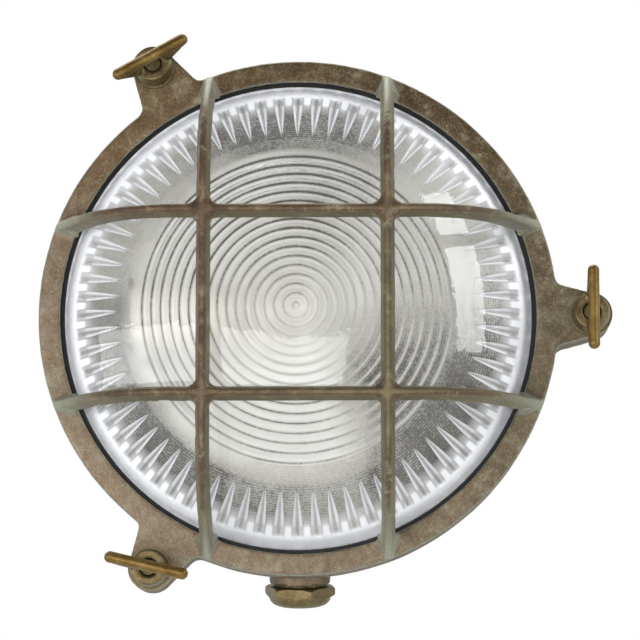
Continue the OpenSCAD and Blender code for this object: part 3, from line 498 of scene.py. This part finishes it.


# The dome as rings from the outer apex, over the flange and back along the ribbed inside.
# Each ring holds its angles, radius and depth, the way its ribs rise, their height, its
# painted light and painted shade, and whether it lies inside
def pressedDome(d, ribs, f):
    rings = []
    reach = d["radius"]
    wall = reach - d["thickness"]
    rise = d["height"] - d["side"]
    period = 2 * math.pi / f["count"]
    zone = ribs["pitch"] * (ribs["count"] + 0.5)

    def crown(radius):
        return d["lip"] + d["side"] + rise * (1 - (radius / reach) ** d["power"])

    def slope(radius):
        return rise * d["power"] / reach * (radius / reach) ** (d["power"] - 1)

    def hollow(radius):
        return crown(radius) - d["thickness"] * math.sqrt(1 + slope(radius) ** 2)

    # Spots is a count of even angles, or the angles themselves
    def ring(spots, radius, depth, normal=(0, 1), lift=0, paintedLight=0, paintedShade=0, inside=0):
        angles = np.arange(spots) * 2 * math.pi / spots if isinstance(spots, int) else spots
        values = [np.broadcast_to(value(angles) if callable(value) else value, angles.shape)
                  for value in (lift, paintedLight, paintedShade)]
        rings.append((angles, radius, depth, normal, values, inside))

    # A radial rib over an inner ring: a ridge with straight flanks that widens outwards, and
    # the painted light and painted shade of its flanks, its crest and the hollows between the
    # ribs. The ring's points go with the ribs, so that each flank keeps a straight edge
    def fluted(radius, depth, normal):
        grown = shareOf(radius, f["tip"], f["run"])
        half = max(f["leastHalf"], f["half"] * grown ** f["widens"])
        spots = np.array(f["spots"]) * half / radius
        gaps = np.linspace(spots[-1], period - spots[-1], f["gapPoints"] + 2)[1:-1]
        one = np.concatenate([spots, gaps, period - spots[:0:-1]])
        angles = (np.arange(f["count"])[:, None] * period + one).ravel()
        off = np.minimum(angles % period, period - angles % period) * radius / half
        start = min(1.0, grown * f["rises"])
        lit = shareOf(radius, f["litFrom"], f["litOver"])
        square = shareOf(radius, f["squareFrom"], f["edgeOver"])
        rim = shareOf(radius, f["rimFrom"], f["edgeOver"])
        flanks = np.interp(off, f["spots"], f["paintedLight"]) * start
        hollows = np.interp(off, f["hollowOver"], [0, 1]) * (f["lit"] * lit + f["square"] * square)
        paintedLight = np.maximum(flanks * (1 - f["squareDulls"] * square), hollows)
        paintedLight = paintedLight * (1 - rim) + d["rimBright"] * rim
        lift = f["height"] * start * (1 - f["rimFlattens"] * rim) * np.clip(1 - off, 0, 1) ** f["rounds"]
        ring(angles, radius, depth, normal, lift, paintedLight, around("hollows", angles), 1)

    # The outer crown, its edge and the flange, with small roundings and bevels
    bevel = d["bevel"]
    rounding = d["rounding"]
    front = d["flangeFront"]
    back = d["flangeBack"]
    brim = d["flangeRadius"]
    for step in range(1, d["crownRows"] + 1):
        radius = (reach - bevel) * math.sin(math.radians(90 * step / d["crownRows"]))
        ring(d["outer"], radius, crown(radius))
    for count, radius, depth in (
            (d["outer"], reach - bevel / 4, crown(reach) - rounding),
            (d["outer"], reach, crown(reach) - 3 * rounding),
            (d["coarse"], reach, front + rounding),
            (d["coarse"], reach + rounding, front),
            (d["coarse"], brim - bevel, front),
            (d["coarse"], brim, front - bevel),
            (d["coarse"], brim, back + bevel)):
        ring(count, radius, depth)
    # The seat behind the flange, inside, with painted light
    ring(d["coarse"], brim - bevel, back, paintedLight=d["seatBright"], inside=1)

    # The drafted inner wall, rounded at both ends, with painted light
    ring(d["fine"], wall + d["draft"], back, paintedLight=d["wallBright"], inside=1)
    fluted(wall + d["draft"] * 0.85, back + rounding, (0.8, 0.6))
    fluted(wall + rounding, hollow(wall) - 2 * bevel, (0.8, 0.6))
    fluted(wall - bevel, hollow(wall) - bevel / 4, (0.7, 0.7))

    # The inside from the wall to the first concentric rib: radial ribs, then plain glass whose
    # painted shade takes on that of the hollows towards the points
    for step in range(d["sideRows"], 0, -1):
        radius = zone + (wall - d["margin"] - zone) * step / d["sideRows"]
        steep = slope(radius)
        normal = (steep / math.hypot(steep, 1), 1 / math.hypot(steep, 1))
        if radius > f["tip"] - d["margin"]:
            fluted(radius, hollow(radius), normal)
        else:
            outward = (radius - zone) / (f["tip"] - zone)
            inward = shareOf(outward, f["inwardFrom"], f["inwardOver"])

            def paintedShade(angles, outward=outward, inward=inward):
                share = np.maximum(outward ** 2, around("inward", angles) * inward)
                return share * around("hollows", angles) + (1 - share) * around("plain", angles)

            ring(d["coarse"], radius, hollow(radius), paintedShade=paintedShade, inside=1)

    # The concentric ribs, each with a painted dark line on one flank
    rows = len(ribs["crests"])
    for row in range(int(zone / ribs["pitch"] * rows), 0, -1):
        radius = ribs["pitch"] * row / rows
        crest = ribs["crests"][row % rows] if radius > ribs["pitch"] / 2 else ribs["centreCrest"]
        share = min(1.0, radius / ribs["middleReach"]) ** 2

        def paintedShade(angles, line=ribs["lines"][row % rows], share=share):
            level = share * around("rings", angles) + (1 - share) * around("middle", angles)
            drawn = share * around("lines", angles) + (1 - share) * around("middleLines", angles)
            return level + line * drawn

        ring(d["coarse"], radius, hollow(radius) - ribs["height"] * crest, paintedShade=paintedShade, inside=1)

    vertices, marks, numbers = [(0, -(d["lip"] + d["height"]), 0)], [(0, 0, 0)], []
    for angles, radius, depth, normal, (lift, paintedLight, paintedShade), inside in rings:
        first = len(vertices)
        numbers.append(list(range(first, first + len(angles))))
        out = radius - lift * normal[0]
        vertices += list(zip(out * np.cos(angles), lift * normal[1] - depth, out * np.sin(angles)))
        marks += list(zip(paintedLight, paintedShade, np.full(len(angles), inside)))
    faces = [(0, numbers[0][i - 1], numbers[0][i]) for i in range(len(numbers[0]))]
    for one, two in zip(numbers, numbers[1:]):
        faces += bridge(one, two)
    last = len(vertices)
    vertices.append((0, ribs["height"] * ribs["centreCrest"] - hollow(0), 0))
    marks.append((0, ribs["centreShade"], 1))
    faces += [(last, numbers[-1][i], numbers[-1][i - 1]) for i in range(len(numbers[-1]))]
    mesh = bpy.data.meshes.new("glass")
    mesh.from_pydata(vertices, [], faces)
    mesh.update()
    shape = bmesh.new()
    shape.from_mesh(mesh)
    bmesh.ops.recalc_face_normals(shape, faces=shape.faces)
    shape.to_mesh(mesh)
    shape.free()
    for name, column in zip(("paintedLight", "paintedShade", "inside"), np.array(marks).T):
        store(mesh, name, column)
    for polygon in mesh.polygons:
        polygon.use_smooth = True
    mesh.materials.append(materials["pressed_glass"])
    piece = link("glass_dome_pressed", mesh)
    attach(piece, "guard")
    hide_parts("glass_dome")
    print("dome done,", len(faces), "triangles")


pressedDome(dome, concentric, flute)

# Threaded studs: middle is how far from the wall a stud's middle lies, and circle the radius
# of the lugs. Faces larger than flatOver, such as an end, stay flat
studs = {
    "nodes": ["stud_right", "stud_upper_left", "stud_lower_left"], "sides": 40, "rows": 208,
    "sizes": {"Radius": 0.004, "Pitch": 0.00125, "Depth": 0.0006, "Length": 0.033, "Middle": 0.0585,
              "Chamfer": 0.0008, "Circle": 0.1358},
    "flatOver": 0.00001,
}


# Three studs with a rolled thread: a cylinder whose radius follows the helix, set on the
# three points of the lug circle and turned to face forward
def threadedStuds(look):
    tree = bpy.data.node_groups.new("threadedStuds", "GeometryNodeTree")
    given = {}
    for name in look["sizes"]:
        socket = tree.interface.new_socket(name, in_out="INPUT", socket_type="NodeSocketFloat")
        given[name] = socket.identifier
    tree.interface.new_socket("Geometry", in_out="OUTPUT", socket_type="NodeSocketGeometry")
    size = add(tree, "NodeGroupInput").outputs
    rod = add(tree, "GeometryNodeMeshCylinder", {"Radius": size["Radius"], "Depth": size["Length"]},
              {"Vertices": look["sides"], "Side Segments": look["rows"]})
    at = add(tree, "SeparateXYZ", {0: add(tree, "GeometryNodeInputPosition").outputs[0]}).outputs

    # The cut runs up and down once a pitch, and the chamfer takes over at both ends
    turn = mathNode(tree, "DIVIDE", mathNode(tree, "ARCTAN2", at["Y"], at["X"]), 2 * math.pi)
    along = mathNode(tree, "SUBTRACT", mathNode(tree, "DIVIDE", at["Z"], size["Pitch"]), turn)
    wave = scaled(tree, mathNode(tree, "FRACT", along), 2.0, -1.0)
    cut = product(tree, mathNode(tree, "ABSOLUTE", wave), size["Depth"])
    fromEnd = mathNode(tree, "SUBTRACT", mathNode(tree, "DIVIDE", size["Length"], 2.0),
                       mathNode(tree, "ABSOLUTE", at["Z"]))
    cut = mathNode(tree, "MAXIMUM", mathNode(tree, "SUBTRACT", size["Chamfer"], fromEnd), cut)
    share = mathNode(tree, "SUBTRACT", 1.0, mathNode(tree, "DIVIDE", cut, size["Radius"]))
    moved = add(tree, "CombineXYZ", {0: product(tree, at["X"], share), 1: product(tree, at["Y"], share),
                                     2: at["Z"]})
    thread = add(tree, "GeometryNodeSetPosition", {"Geometry": rod.outputs["Mesh"],
                                                   "Position": moved.outputs[0]})

    lift = add(tree, "CombineXYZ", {2: size["Middle"]})
    raised = add(tree, "GeometryNodeTransform", {"Geometry": thread.outputs[0],
                                                 "Translation": lift.outputs[0]})
    circle = add(tree, "GeometryNodeMeshCircle", {"Radius": size["Circle"]}, {"Vertices": len(look["nodes"])})
    three = add(tree, "GeometryNodeInstanceOnPoints", {"Points": circle.outputs[0],
                                                       "Instance": raised.outputs[0]})
    forward = add(tree, "GeometryNodeTransform", {"Geometry": three.outputs[0]},
                  {"Rotation": (math.pi / 2, 0, 0)})
    real = add(tree, "GeometryNodeRealizeInstances", {0: forward.outputs[0]})
    finish = add(tree, "GeometryNodeSetMaterial", {"Geometry": real.outputs[0]},
                 {"Material": materials["stud_brass"]})
    add(tree, "NodeGroupOutput", {0: finish.outputs[0]})

    piece = link("studs_threaded", bpy.data.meshes.new("studs"))
    modifier = piece.modifiers.new("threads", "NODES")
    modifier.node_group = tree
    for name, value in look["sizes"].items():
        modifier[given[name]] = value
    mesh = applied(piece)
    store(mesh, "front", np.clip(-pointsAndNormals(mesh)[1][:, 1], 0, 1))
    for polygon in mesh.polygons:
        polygon.use_smooth = polygon.area < look["flatOver"]
    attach(piece, "base")
    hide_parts(*look["nodes"])


threadedStuds(studs)
print("studs done")

# Surroundings that the metal sees: stops from behind the camera to behind the light, and how
# sharply a reflection turns to the white backdrop. The floor is a pale square
surroundings = {"stops": [(0.0, 0.12), (0.3, 0.26), (0.5, 0.72), (1.0, 1.0)], "turn": 4.0,
                "floorHeight": -0.42, "floorHalf": 4}

world = bpy.data.worlds.new("studio")
bpy.context.scene.world = world
world.use_nodes = True
tree = world.node_tree
tree.nodes.clear()
toward = add(tree, "SeparateXYZ", {"Vector": add(tree, "TexCoord").outputs["Generated"]}).outputs["Y"]
path = add(tree, "LightPath").outputs
mirrored = product(tree, path["Is Glossy Ray"], scaled(tree, toward, surroundings["turn"], 0.5, clamp=True))
shown = mathNode(tree, "MAXIMUM", path["Is Camera Ray"], path["Is Transmission Ray"])
shown = mathNode(tree, "MAXIMUM", shown, mirrored)
dimmed = add(tree, "Background", {"Color": ramp(tree, scaled(tree, toward, 0.5, 0.5), surroundings["stops"])},
             {"Strength": 1.0})
white = add(tree, "Background", values={"Color": (1, 1, 1, 1), "Strength": 1.0})
mix = add(tree, "MixShader", {0: shown, 1: dimmed.outputs[0], 2: white.outputs[0]})
add(tree, "OutputWorld", {"Surface": mix.outputs[0]})

half = surroundings["floorHalf"]
floorMesh = bpy.data.meshes.new("floor")
corners = [(-half, -half, 0), (half, -half, 0), (half, half, 0), (-half, half, 0)]
floorMesh.from_pydata(corners, [], [(0, 1, 2, 3)])
floor = link("floor", floorMesh)
floor.location.z = surroundings["floorHeight"]
floorMesh.materials.append(plainFinish("paleFloor", ("#ededeb", "#f2f2f0"), 0.3, 0.7, 0.02))

# Lamps by place, the point they aim at, size and power
lamps = {
    "rightWindow": ((1.169, -0.8, 0.49), (0, -0.07, 0), (0.32, 1.3), 9),
    "lowerLeftWindow": ((-0.768, -1.349, -0.157), (0, -0.07, 0), (2.6, 0.5), 18),
    "topLight": ((-0.2, 0.45, 1.4), (0, -0.05, 0), (1.2, 0.5), 12),
}
for name, (place, aim, size, power) in lamps.items():
    data = bpy.data.lights.new(name, "AREA")
    data.shape = "RECTANGLE"
    data.size, data.size_y = size
    data.energy = power
    softbox = bpy.data.objects.new(name, data)
    softbox.location = place
    softbox.rotation_euler = (Vector(aim) - Vector(place)).to_track_quat("-Z", "Y").to_euler()
    bpy.context.scene.collection.objects.link(softbox)

# The camera stands a little to the right and looks up at the light by the angle below. Its
# focal length is in pixels of the picture, which is square
camera = {"distance": 1.4586, "below": 8.4, "focalPixels": 3141, "pixels": 640, "nearest": 0.05,
          "eyeX": 0.04, "aimX": 0.0103, "aimZ": -0.0023, "faceY": -0.0646}

view = bpy.data.cameras.new("camera")
view.lens = view.sensor_width * camera["focalPixels"] / camera["pixels"]
view.clip_start = camera["nearest"]
eye = bpy.data.objects.new("camera", view)
below = math.radians(camera["below"])
aim = Vector((camera["aimX"], camera["faceY"], camera["aimZ"]))
eye.location = (camera["eyeX"], camera["faceY"] - camera["distance"] * math.cos(below),
                -camera["distance"] * math.sin(below))
eye.rotation_euler = (aim - eye.location).to_track_quat("-Z", "Y").to_euler()
bpy.context.scene.collection.objects.link(eye)
bpy.context.scene.camera = eye
bpy.context.scene.view_settings.view_transform = "Standard"
print("stage done")
